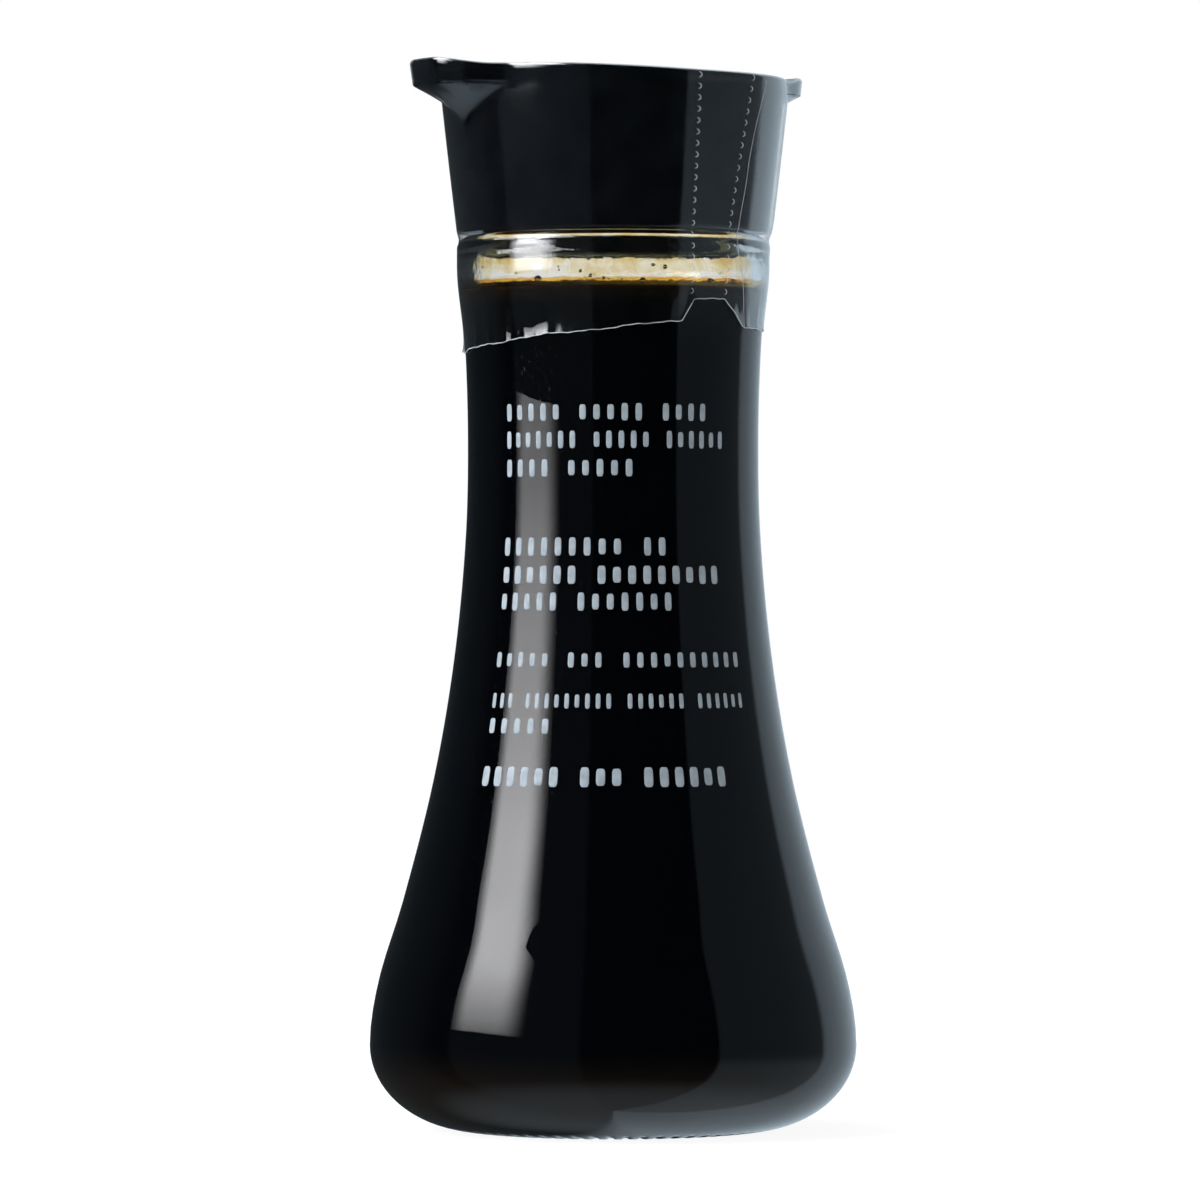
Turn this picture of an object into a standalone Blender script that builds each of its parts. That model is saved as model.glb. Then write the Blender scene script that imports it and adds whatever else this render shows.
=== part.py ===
"""A waisted clear glass table bottle of soy sauce, with a two-lipped pourer cap and a torn clear shrink band.

Run with: blender --background --python part.py
Metres, +Z up. The origin is the middle of the base, on the plane that the bottle stands on. The main
pouring lip points along -X and the second lip along +X. Angles round the bottle are in degrees from +X.
"""

import math

import bmesh
import bpy
import numpy as np
from mathutils import Matrix

MM = 0.001
GAP = 0.3 * MM  # clearance between pieces that touch

# Glass: its outline is a smooth curve through these (height, radius) stations, level at both ends
BELLY = (11.0 * MM, 31.5 * MM)
WAIST = (89.2 * MM, 18.8 * MM)
BEAD = (111.7 * MM, 20.1 * MM)
OUTLINE = (
    BELLY,
    (19.3 * MM, 30.35 * MM),
    (29.6 * MM, 27.2 * MM),
    (45.2 * MM, 23.25 * MM),
    (60.7 * MM, 20.6 * MM),
    (76.3 * MM, 19.1 * MM),
    WAIST,
    (102.1 * MM, 19.2 * MM),
    BEAD,
)
WALL = 2.0 * MM
TURN_STEPS = 36
SIDE_STEPS = 11
INSIDE_STEPS = 7
FOOT_OUTSIDE = 18.0 * MM  # the flat ring that the bottle stands on
FOOT_INSIDE = 16.4 * MM
PUSH_UP = 2.4 * MM
FLOOR_RADIUS = 18.5 * MM
FLOOR_EDGE = 4.9 * MM
FLOOR_DOME = 1.4 * MM  # how much higher the middle of the inside floor is than its edge
INSIDE_BELLY = 13.0 * MM
SHOULDER_TOP = 115.6 * MM
SHOULDER_RADIUS = 17.2 * MM
SHOULDER_FOOT = 112.8 * MM
NECK_RADIUS = 16.8 * MM
NECK_BORE = 14.5 * MM
NECK_BEVEL = 0.6 * MM

# Grip notches across the flat ring
NOTCHES = 64
NOTCH_WIDTH = 0.7 * MM
NOTCH_DEPTH = 0.35 * MM
NOTCH_INSIDE = 17.2 * MM
NOTCH_OUTSIDE = 22.0 * MM

SAUCE_LEVEL = 108.6 * MM

# Pourer cap
CAP_FOOT = 115.9 * MM
CAP_FOOT_RADIUS = 20.1 * MM
CAP_HEAD_RADIUS = 22.2 * MM
CAP_BOWING = 1.05  # over 1, so the cap's side bulges very slightly between its foot and its head
CAP_BORE = NECK_RADIUS + GAP
CAP_WALL = 1.3 * MM
CAP_BEVEL = 0.3 * MM
DECK = 132.6 * MM
DECK_DOME = 0.4 * MM
DECK_THICKNESS = 1.8 * MM
RIM = 135.65 * MM
RIM_TILT = 1.05 * MM  # how much higher the rim is towards the main lip than midway
LIP_FOOT = 134.3 * MM  # a lip's outside is upright above this height and slopes back below it
LIP_SLOPE = 1.12  # reach of a lip's underside for each unit of height, along its keel
LIP_KEEL = 3.2  # how much steeper the underside gets towards the lip's half-angle
LIP_FILLET = 0.5 * MM
LIP_HALF_ANGLE = 27.0
LIP_RISE_HALF_ANGLE = 20.0
LIP_FLAT_SHARE = 0.2  # share of a lip's half-angle over which its end is level, before it falls away
LIPS = (  # angle, reach past the cap's side, rise above the rim
    (180.0, 5.5 * MM, 0.8 * MM),
    (0.0, 4.1 * MM, 1.05 * MM),
)
CHANNEL_EDGE = 0.8 * MM  # rounding where a lip's channel meets its wall
CHANNEL_START = 0.6 * MM  # reach of a lip at which its channel starts to rise clear of its underside
CHANNEL_RUN = 1.5 * MM  # further reach at which the channel is at its full height
CHANNEL_FLOOR = 1.0 * MM  # thickness between the channel and the lip's underside
POUR_HOLE_RADIUS = 1.5 * MM
POUR_HOLE_PLACE = 11.5 * MM
SLEEVE_STEPS = 60
CROWDING = 0.25  # steps round the cap are half as long at the lips and half as long again midway
CAP_ROWS = (0.03, 0.4, 0.68, 0.86)  # shares of the way from the foot to LIP_FOOT

# Shrink band: up from a torn edge, over the cap's side and in over its rim
FILM = 0.2 * MM
HEM_RADIUS = 19.0 * MM
EDGE = (  # angle and height of the cut edge, which is straight from one to the next
    (160.0, 100.4 * MM),
    (266.5, 104.0 * MM),
    (271.0, 106.9 * MM),
    (285.0, 106.9 * MM),
    (297.0, 103.4 * MM),
    (410.0, 103.0 * MM),
    (520.0, 100.4 * MM),
)

PAINTS = {  # colour, roughness, alpha
    "glass_bottle": ((0.93, 0.96, 0.95), 0.03, 0.35),
    "soy_sauce": ((0.012, 0.005, 0.003), 0.05, 1.0),
    "pourer_cap": ((0.010, 0.010, 0.012), 0.12, 1.0),
    "shrink_band": ((0.95, 0.96, 0.97), 0.08, 0.25),
}


def clear_scene():
    for obj in list(bpy.data.objects):
        bpy.data.objects.remove(obj, do_unlink=True)


def finish(name, mesh):
    """Links a smooth object of this name, with its own material."""
    colour, roughness, alpha = PAINTS[name]
    paint = bpy.data.materials.new(name)
    paint.use_nodes = True
    shader = paint.node_tree.nodes["Principled BSDF"]
    shader.inputs["Base Color"].default_value = (*colour, 1.0)
    shader.inputs["Roughness"].default_value = roughness
    shader.inputs["Metallic"].default_value = 0.0
    shader.inputs["Alpha"].default_value = alpha
    mesh.materials.append(paint)
    if mesh.polygons:
        mesh.shade_smooth()
        mesh.set_sharp_from_angle(angle=math.radians(40))
    obj = bpy.data.objects.new(name, mesh)
    bpy.context.collection.objects.link(obj)
    return obj


def turned(name, section):
    """A solid of revolution of (radius, height) points, which run down its outer side."""
    mesh = bpy.data.meshes.new(name)
    points = [(radius, 0.0, height) for radius, height in section]
    mesh.from_pydata(points, [(i, i + 1) for i in range(len(points) - 1)], [])
    obj = finish(name, mesh)
    screw = obj.modifiers.new("turn", "SCREW")
    screw.axis = "Z"
    screw.steps = TURN_STEPS
    screw.render_steps = TURN_STEPS
    screw.use_merge_vertices = True
    screw.merge_threshold = 0.00001
    screw.use_smooth_shade = True
    return obj


def cut(obj, cutter):
    cutter.hide_render = True
    cutter.display_type = "WIRE"
    boolean = obj.modifiers.new("cut " + cutter.name, "BOOLEAN")
    boolean.operation = "DIFFERENCE"
    boolean.object = cutter


def outline(heights):
    """The glass's outer radius: a cubic curve through OUTLINE, level at both ends."""
    at, radius = np.array(OUTLINE).T
    slope = np.zeros(len(at))
    slope[1:-1] = (radius[2:] - radius[:-2]) / (at[2:] - at[:-2])
    part = np.clip(np.searchsorted(at, heights) - 1, 0, len(at) - 2)
    span = at[part + 1] - at[part]
    t = (heights - at[part]) / span
    ends = radius[part] * (1 + 2 * t) * (1 - t) ** 2 + radius[part + 1] * t * t * (3 - 2 * t)
    return ends + span * t * (1 - t) * (slope[part] * (1 - t) - slope[part + 1] * t)


def quarter(start, end, steps, level_first):
    """A quarter of an ellipse between two (radius, height) points, level at its start or at its end."""
    turns = np.linspace(0.0, math.pi / 2, steps + 1)
    shares = (np.sin(turns), 1 - np.cos(turns))
    along_radius, along_height = shares if level_first else shares[::-1]
    return [
        (start[0] + (end[0] - start[0]) * r, start[1] + (end[1] - start[1]) * h)
        for r, h in zip(along_radius, along_height)
    ]


def dome(radius, edge, rise):
    """(radius, height) points from the middle of a shallow dome out to just short of its edge."""
    return [
        (share * radius, edge + rise * math.cos(share * math.pi / 2) ** 2)
        for share in (0.0, 0.35, 0.7)
    ]


def inside(clearance, top):
    """The inside of the glass, drawn in by a clearance, from the middle of its floor up to a height."""
    edge = FLOOR_EDGE + clearance
    belly = float(outline(INSIDE_BELLY)) - WALL - clearance
    heel = quarter((FLOOR_RADIUS, edge), (belly, INSIDE_BELLY), 5, True)
    heights = np.linspace(INSIDE_BELLY, top, INSIDE_STEPS)[1:]
    wall = [(r - WALL - clearance, z) for r, z in zip(outline(heights), heights)]
    return dome(FLOOR_RADIUS, edge, FLOOR_DOME) + heel + wall


def glass_bottle():
    neck_top = DECK - DECK_THICKNESS - GAP
    lining = inside(0.0, BEAD[0])
    throat = quarter(lining[-1], (NECK_BORE, SHOULDER_TOP + WALL), 3, False)[1:]
    mouth = [
        (NECK_BORE, neck_top - NECK_BEVEL),
        (NECK_BORE + NECK_BEVEL, neck_top),
        (NECK_RADIUS - NECK_BEVEL, neck_top),
        (NECK_RADIUS, neck_top - NECK_BEVEL),
        (NECK_RADIUS, SHOULDER_TOP + SHOULDER_RADIUS - NECK_RADIUS),
    ]
    shoulder = quarter((SHOULDER_RADIUS, SHOULDER_TOP), (BEAD[1], SHOULDER_FOOT), 3, True)
    heights = np.linspace(BEAD[0], BELLY[0], SIDE_STEPS)
    side = list(zip(outline(heights), heights))
    heel = quarter(side[-1], (FOOT_OUTSIDE, 0.0), 5, False)[1:]
    under = [(FOOT_INSIDE, 0.0)] + dome(FOOT_INSIDE, 0.0, PUSH_UP)[::-1]
    bottle = turned("glass_bottle", lining + throat + mouth + shoulder + side + heel + under)
    cut(bottle, grip_notches())


def grip_notches():
    """Short radial bars in a ring, which cut the notches."""
    bars = bmesh.new()
    length = NOTCH_OUTSIDE - NOTCH_INSIDE
    for index in range(NOTCHES):
        bar = bmesh.ops.create_cube(bars, size=1.0)["verts"]
        bmesh.ops.scale(bars, verts=bar, vec=(length, NOTCH_WIDTH, 2 * NOTCH_DEPTH))
        bmesh.ops.translate(bars, verts=bar, vec=(NOTCH_INSIDE + length / 2, 0.0, 0.0))
        turn = Matrix.Rotation(math.tau * (index + 0.5) / NOTCHES, 3, "Z")
        bmesh.ops.rotate(bars, verts=bar, cent=(0.0, 0.0, 0.0), matrix=turn)
    mesh = bpy.data.meshes.new("grip_notches")
    bars.to_mesh(mesh)
    bars.free()
    cutter = bpy.data.objects.new("grip_notches", mesh)
    bpy.context.collection.objects.link(cutter)
    return cutter


def soy_sauce():
    lining = inside(GAP, SAUCE_LEVEL)
    turned("soy_sauce", [(0.0, SAUCE_LEVEL)] + lining[::-1])


def sleeve_angles():
    """Angles round the cap in radians, crowded towards the two lips."""
    even = np.arange(SLEEVE_STEPS) * math.tau / SLEEVE_STEPS
    return even - CROWDING * np.sin(2 * even)


def away_from(angles, degrees):
    """How far each angle in radians is from a direction in degrees, between -pi and pi."""
    return (angles - math.radians(degrees) + math.pi) % math.tau - math.pi


def crest(angles, degrees, half_angle):
    """1 across a lip's level end, falling as a half-cosine to 0 at its half-angle."""
    off = np.abs(away_from(angles, degrees)) / math.radians(half_angle)
    fall = np.clip((off - LIP_FLAT_SHARE) / (1 - LIP_FLAT_SHARE), 0.0, 1.0)
    return 0.5 + 0.5 * np.cos(math.pi * fall)


def lip_slope(angles, degrees):
    """The slope of a lip's underside, least along its keel."""
    off = away_from(angles, degrees) / math.radians(LIP_HALF_ANGLE)
    return LIP_SLOPE * (1 + LIP_KEEL * np.sqrt(off**2 + 0.002))


def rim_height(angles, with_lips=True):
    """The rim is level on the second lip's side, rises towards the main lip, and rises more at each lip."""
    toward = -np.cos(angles)
    height = RIM + RIM_TILT * 0.5 * (toward + np.sqrt(toward**2 + 0.04))
    for degrees, _, rise in LIPS:
        height = height + with_lips * rise * crest(angles, degrees, LIP_RISE_HALF_ANGLE)
    return height


def cap_radius(angles, height):
    """The cap's outer radius: a flaring side, and on it each lip, cut back below its foot."""
    share = np.clip((height - CAP_FOOT) / (LIP_FOOT - CAP_FOOT), 0.0, 1.0)
    side = CAP_HEAD_RADIUS - (CAP_HEAD_RADIUS - CAP_FOOT_RADIUS) * (1 - share) ** CAP_BOWING
    lips = 0.0
    for degrees, reach, _ in LIPS:
        shape = crest(angles, degrees, LIP_HALF_ANGLE)
        out = reach * shape - lip_slope(angles, degrees) * np.maximum(LIP_FOOT - height, 0.0)
        lips = lips + 0.5 * (out + np.sqrt(out**2 + LIP_FILLET**2 * shape))
    return side + lips


def ring(angles, radius, height):
    """One closed row of points at these angles."""
    radius = radius + 0.0 * angles
    return np.stack([radius * np.cos(angles), radius * np.sin(angles), height + 0.0 * angles], axis=1)


def lofted(name, rows, caps):
    """Rows of points round the axis, each bridged to the next by triangles.

    Two heights in caps close the first and last rows at the axis. With none, the last row joins the first.
    """
    shape = bmesh.new()
    loops = [[shape.verts.new(point) for point in row] for row in rows]
    pairs = list(zip(loops, loops[1:])) + ([] if caps else [(loops[-1], loops[0])])
    for upper, lower in pairs:
        for i, corner in enumerate(upper):
            shape.faces.new((upper[i - 1], lower[i - 1], lower[i]))
            shape.faces.new((upper[i - 1], lower[i], corner))
    for loop, height in zip((loops[0], loops[-1]), caps):
        middle = shape.verts.new((0.0, 0.0, height))
        for i, corner in enumerate(loop):
            shape.faces.new((loop[i - 1], corner, middle))
    bmesh.ops.recalc_face_normals(shape, faces=shape.faces)
    mesh = bpy.data.meshes.new(name)
    shape.to_mesh(mesh)
    shape.free()
    return finish(name, mesh)


def pour_hole(degrees):
    """A round cutter through the deck, on a lip's side."""
    drill = bmesh.new()
    bmesh.ops.create_cone(
        drill,
        cap_ends=True,
        segments=16,
        radius1=POUR_HOLE_RADIUS,
        radius2=POUR_HOLE_RADIUS,
        depth=4 * DECK_THICKNESS,
    )
    place = (
        POUR_HOLE_PLACE * math.cos(math.radians(degrees)),
        POUR_HOLE_PLACE * math.sin(math.radians(degrees)),
        DECK,
    )
    bmesh.ops.translate(drill, verts=drill.verts, vec=place)
    name = f"pour_hole_{degrees:.0f}"
    mesh = bpy.data.meshes.new(name)
    drill.to_mesh(mesh)
    drill.free()
    cutter = bpy.data.objects.new(name, mesh)
    bpy.context.collection.objects.link(cutter)
    return cutter


def pourer_cap():
    angles = sleeve_angles()
    rim = rim_height(angles)
    brim = cap_radius(angles, LIP_FOOT)
    inner = brim - CAP_WALL
    # The channel's floor is level with the deck until it has to rise clear of the lip's underside.
    slope = np.minimum(*(lip_slope(angles, degrees) for degrees, _, _ in LIPS))
    clear = LIP_FOOT - (CAP_WALL + CHANNEL_EDGE) / slope + CHANNEL_FLOOR
    part = np.clip((brim - CAP_HEAD_RADIUS - CHANNEL_START) / CHANNEL_RUN, 0.0, 1.0)
    channel = DECK + (clear - DECK) * part
    ceiling = DECK - DECK_THICKNESS
    rows = [
        ring(angles, NECK_BORE, DECK + 0.0 * angles),
        ring(angles, np.minimum(inner - CAP_WALL, CAP_HEAD_RADIUS - 3 * CAP_WALL), DECK),
        ring(angles, inner - CHANNEL_EDGE, channel),
        ring(angles, inner, channel + CHANNEL_EDGE),
        ring(angles, inner, rim - CAP_BEVEL),
        ring(angles, inner + CAP_BEVEL, rim),
        ring(angles, brim - CAP_BEVEL, rim),
        ring(angles, brim, rim - CAP_BEVEL),
        ring(angles, brim, LIP_FOOT),
    ]
    for share in reversed(CAP_ROWS):
        height = CAP_FOOT + share * (LIP_FOOT - CAP_FOOT)
        rows.append(ring(angles, cap_radius(angles, height), height))
    rows += [
        ring(angles, CAP_FOOT_RADIUS - CAP_BEVEL, CAP_FOOT),
        ring(angles, CAP_BORE, CAP_FOOT),
        ring(angles, CAP_BORE, ceiling),
    ]
    cap = lofted("pourer_cap", rows, (DECK + DECK_DOME, ceiling))
    for degrees, _, _ in LIPS:
        cut(cap, pour_hole(degrees))


def edge_height(angles):
    """The height of the shrink band's cut edge at each angle."""
    at, height = np.array(EDGE).T
    degrees = (np.degrees(angles) - at[0]) % 360.0 + at[0]
    return np.interp(degrees, at, height)


def shrink_band():
    """A thin sleeve: down its inner side from the hem to the cut edge, and back up its outer side.

    The inner side runs down so that its triangles lie as the cap's do.
    """
    angles = sleeve_angles()
    rim = rim_height(angles)
    brim = cap_radius(angles, LIP_FOOT)
    low = edge_height(angles)
    hem = rim_height(angles, with_lips=False)
    side = [(outline(low), low)]
    side.append((BEAD[1], SHOULDER_FOOT))
    for share in CAP_ROWS:
        height = CAP_FOOT + share * (LIP_FOOT - CAP_FOOT)
        side.append((cap_radius(angles, height), height))
    side += [(brim, LIP_FOOT), (brim, rim - CAP_BEVEL)]
    within = [ring(angles, radius + GAP, height) for radius, height in side]
    outside = [ring(angles, radius + GAP + FILM, height) for radius, height in side]
    for radius, height in ((brim - CAP_BEVEL, rim), (brim - CAP_WALL - GAP, rim), (HEM_RADIUS, hem)):
        within.append(ring(angles, radius, height + GAP))
        outside.append(ring(angles, radius, height + GAP + FILM))
    lofted("shrink_band", within[::-1] + outside, ())


def main():
    clear_scene()
    glass_bottle()
    soy_sauce()
    pourer_cap()
    shrink_band()


main()
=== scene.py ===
"""A waisted clear glass table bottle of soy sauce, with a two-lipped pourer cap and a torn clear shrink band.

Metres, +Z up. The origin is the middle of the base, on the plane that the bottle stands on. The main
pouring lip points along -X and the second lip along +X. Angles round the bottle are in degrees from +X,
and the printed side faces 240 degrees.
"""

import math

import bmesh
import bpy
import numpy as np
from bpy.props import FloatProperty, FloatVectorProperty, IntProperty, PointerProperty
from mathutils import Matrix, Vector


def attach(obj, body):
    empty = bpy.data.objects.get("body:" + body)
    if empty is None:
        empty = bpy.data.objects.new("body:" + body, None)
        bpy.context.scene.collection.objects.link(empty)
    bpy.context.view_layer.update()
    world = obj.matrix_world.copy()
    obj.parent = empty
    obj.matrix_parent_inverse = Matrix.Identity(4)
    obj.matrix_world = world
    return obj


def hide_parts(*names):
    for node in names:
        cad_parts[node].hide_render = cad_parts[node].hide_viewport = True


bl_info = {
    "name": "Soy Sauce Bottle",
    "version": (1, 0, 0),
    "blender": (4, 5, 0),
    "location": "View3D > Sidebar > Bottle",
    "description": "Builds a glass table bottle of soy sauce with its pourer cap, shrink band and print",
    "category": "Add Mesh",
}

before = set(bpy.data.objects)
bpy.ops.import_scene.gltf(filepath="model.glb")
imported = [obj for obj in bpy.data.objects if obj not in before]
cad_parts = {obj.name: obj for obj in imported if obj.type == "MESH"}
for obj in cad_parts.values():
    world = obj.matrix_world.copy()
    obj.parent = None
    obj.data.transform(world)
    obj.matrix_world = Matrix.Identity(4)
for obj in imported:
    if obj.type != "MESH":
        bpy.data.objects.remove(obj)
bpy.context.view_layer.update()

MM = 0.001
FRONT = 240.0  # the middle of the printed side

# Glass: its outline is a smooth curve through these (height, radius) stations, level at both ends
BELLY = (11.0 * MM, 31.5 * MM)
BEAD = (111.7 * MM, 20.1 * MM)
OUTLINE = (
    BELLY,
    (19.3 * MM, 30.35 * MM),
    (29.6 * MM, 27.2 * MM),
    (45.2 * MM, 23.25 * MM),
    (60.7 * MM, 20.6 * MM),
    (76.3 * MM, 19.1 * MM),
    (89.2 * MM, 18.8 * MM),
    (102.1 * MM, 19.2 * MM),
    BEAD,
)
WALL = 2.0 * MM
FOOT_OUTSIDE = 18.0 * MM
FOOT_INSIDE = 16.4 * MM
PUSH_UP = 2.4 * MM
FLOOR_RADIUS = 18.5 * MM
FLOOR_EDGE = 4.9 * MM
FLOOR_DOME = 1.4 * MM
INSIDE_BELLY = 13.0 * MM
SHOULDER_TOP = 115.6 * MM
SHOULDER_RADIUS = 17.2 * MM
SHOULDER_EDGE = 18.2 * MM  # where the shoulder's level top starts to turn down
SHOULDER_FOOT = 114.1 * MM
THROAT_TOP = 116.5 * MM
NECK_RADIUS = 16.8 * MM
NECK_BORE = 14.5 * MM
NECK_TOP = 130.5 * MM
NECK_BEVEL = 0.6 * MM
NECK_FILLET = 0.4 * MM

# Sauce: the thin edge that climbs the wall, and the bubbles by it
SAUCE_STEPS = 256  # steps round the sauce
CLIMB = 1.2 * MM
CLIMB_FOOT = 0.2 * MM  # how far below the level the edge starts
CLIMB_REACH = 0.06 * MM  # how far it reaches into the wall
CLIMB_THICK = 0.25 * MM
CLIMB_THIN = 0.05 * MM
BUBBLE_SIZE = (0.12 * MM, 0.35 * MM)  # the smallest radius, and how much more the largest is
BUBBLE_RISE = (0.5 * MM, 2.4 * MM)  # the least height above the level, and how much more the greatest is

# Grip notches across the flat ring
NOTCHES = 64
NOTCH_SPAN = (17.2 * MM, 22.0 * MM)
NOTCH_FADE = 0.5 * MM
STEPS_PER_NOTCH = 8

# Pourer cap
CAP_FOOT = 115.9 * MM
CAP_FOOT_RADIUS = 20.1 * MM
CAP_HEAD_RADIUS = 22.2 * MM
CAP_BOWING = 1.05
CAP_BORE = 17.1 * MM
CAP_WALL = 1.3 * MM
CAP_BEVEL = 0.3 * MM
CAP_SHARP = 50.0  # the least angle of a sharp edge
BORE_BEVEL = 0.2 * MM
BRIM_ROWS = (0.1, 0.3, 0.6, 0.85)  # shares of the way down the brim
DECK = 132.6 * MM
DECK_DOME = 0.4 * MM
DECK_THICKNESS = 1.8 * MM
RIM = 135.65 * MM
RIM_TILT = 1.05 * MM
LIP_FOOT = 134.3 * MM
LIP_SLOPE = 1.12
LIP_KEEL = 3.2  # how much steeper a lip's underside gets towards its half-angle
LIP_FILLET = 0.5 * MM
LIP_HALF_ANGLE = 27.0
LIP_RISE_HALF_ANGLE = 20.0
LIP_FLAT_SHARE = 0.2
LIPS = (  # angle, reach past the cap's side, rise above the rim
    (180.0, 5.5 * MM, 0.8 * MM),
    (0.0, 4.1 * MM, 1.05 * MM),
)
BRIM_FLARE = 0.15  # widening of the brim above the lips' foot for each unit of height
CHANNEL_EDGE = 0.8 * MM
CHANNEL_START = 0.6 * MM
CHANNEL_RUN = 1.5 * MM
CHANNEL_FLOOR = 1.0 * MM
POUR_HOLE_RADIUS = 1.5 * MM
POUR_HOLE_PLACE = 11.5 * MM
ROUND_STEPS = 480  # steps round the cap and the band
CROWDING = 0.25

# Shrink band
HEM_RADIUS = 19.0 * MM
EDGE = (  # angle and height of the cut edge, which is straight from one to the next
    (160.0, 100.4 * MM),
    (266.5, 104.0 * MM),
    (271.0, 106.9 * MM),
    (285.0, 106.9 * MM),
    (297.0, 103.4 * MM),
    (410.0, 103.0 * MM),
    (520.0, 100.4 * MM),
)
FILM_LIP_SHARE = 0.92  # the film's slope under a lip, as a share of the cap's
FILM_LIP_FILLET = 0.9 * MM
PERFORATIONS = (  # angle at the foot and at the head of each line
    (270.2, 269.6),
    (286.0, 293.0),
)
PERFORATION_SPAN = (107.8 * MM, 135.2 * MM)
PERFORATION_SIZE = 0.33 * MM
SEAM = ((103.6 * MM, 300.0), (113.2 * MM, 291.9), (124.5 * MM, 294.5), (135.0 * MM, 300.6))  # height, angle
LOOSE = (326.0, 15.0, 0.42 * MM)  # where the film stands off further: its angle, spread and depth
LOOSE_FOOT = (112.0 * MM, 118.0 * MM)  # the heights over which that starts
LOOSE_HEAD = (133.0 * MM, RIM)  # the heights over which it ends
CURL = 0.16 * MM  # how far the cut edge curls out
CURL_FADE = 0.7 * MM
TEAR_FADE = 2.2 * MM
TEAR_DENT = 0.06 * MM  # how far a crinkle may go in
FILM_SAG = 0.25 * MM  # how far the film sags between the glass and the cap
PERFORATION_RADIUS = 0.055 * MM
SEAM_RADIUS = 0.035 * MM
CUT_EDGE_RADIUS = 0.045 * MM

# Print: rows of plain blocks; height, block height, angle of the right end, lengths of the runs, boldness
PRINT_LEFT = 194.0
PRINT_ROWS = (
    (92.4 * MM, 2.2 * MM, 278.4, (5, 5, 4), 0.46),
    (88.9 * MM, 2.2 * MM, 287.4, (7, 5, 6), 0.46),
    (85.3 * MM, 2.2 * MM, 247.4, (4, 5), 0.46),
    (75.3 * MM, 2.3 * MM, 260.2, (9, 2), 0.46),
    (71.7 * MM, 2.3 * MM, 282.9, (6, 9), 0.52),
    (68.3 * MM, 2.3 * MM, 261.9, (5, 7), 0.46),
    (60.9 * MM, 1.9 * MM, 290.3, (5, 3, 10), 0.44),
    (55.7 * MM, 1.9 * MM, 290.1, (3, 9, 6, 6), 0.44),
    (52.5 * MM, 1.9 * MM, 217.8, (5,), 0.44),
    (46.1 * MM, 2.5 * MM, 277.9, (6, 3, 6), 0.56),
)


def settings():
    """The sizes and colours that the panel shows."""
    return bpy.context.scene.bottle


# ---------------------------------------------------------------- meshes


def finish_mesh(name, points, faces, materials, which=None, sharp=40.0):
    """A smooth piece from arrays of points and faces, with its faces turned outwards.

    which gives each face's place in materials.
    """
    mesh = bpy.data.meshes.new(name)
    mesh.from_pydata(points, [], faces)
    for material in materials:
        mesh.materials.append(material)
    if which is not None:
        mesh.polygons.foreach_set("material_index", np.asarray(which, dtype=np.int32))
    shape = bmesh.new()
    shape.from_mesh(mesh)
    bmesh.ops.recalc_face_normals(shape, faces=shape.faces)
    shape.to_mesh(mesh)
    shape.free()
    mesh.shade_smooth()
    mesh.set_sharp_from_angle(angle=math.radians(sharp))
    obj = bpy.data.objects.new(name, mesh)
    bpy.context.scene.collection.objects.link(obj)
    return obj


def rounds(rows, poles=(), tube=False):
    """Faces that bridge rows of points round the axis, each row to the next.

    rows is a (row, column, axis) array. Two heights in poles close the first and last rows at the
    axis; with tube, the last row joins the first. Returns the points and the faces.
    """
    count, across = rows.shape[:2]
    corner = np.arange(count * across).reshape(count, across)
    upper, lower = (corner, np.roll(corner, -1, 0)) if tube else (corner[:-1], corner[1:])
    quads = np.stack([upper, np.roll(upper, -1, 1), np.roll(lower, -1, 1), lower], axis=-1)
    points = rows.reshape(-1, 3)
    faces = quads.reshape(-1, 4).tolist()
    for place, (loop, height) in enumerate(zip((corner[0], corner[-1]), poles)):
        points = np.vstack([points, [[0.0, 0.0, height]]])
        pole = np.full(across, count * across + place)
        ahead, behind = (np.roll(loop, -1), loop) if place == 0 else (loop, np.roll(loop, -1))
        faces += np.stack([ahead, behind, pole], axis=-1).tolist()
    return points, faces


def turned(angles, radius, height):
    """A point at a radius and a height for each angle."""
    radius = radius + 0.0 * angles
    return np.stack([radius * np.cos(angles), radius * np.sin(angles), height + 0.0 * angles], axis=-1)


def round_points(angles, radius, height):
    """Points at (radius, height) and each angle: m sizes, or m x n sizes, turned through n angles."""
    radius, height = np.broadcast_arrays(radius, height)
    if radius.ndim == 1:
        radius, height = radius[:, None], height[:, None]
    return turned(angles, radius, height)


def even_angles(count):
    return np.arange(count) * math.tau / count


def sleeve_angles():
    """Angles round the cap, crowded towards the two lips: a - CROWDING sin 2a."""
    even = even_angles(ROUND_STEPS)
    return even - CROWDING * np.sin(2 * even)


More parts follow.
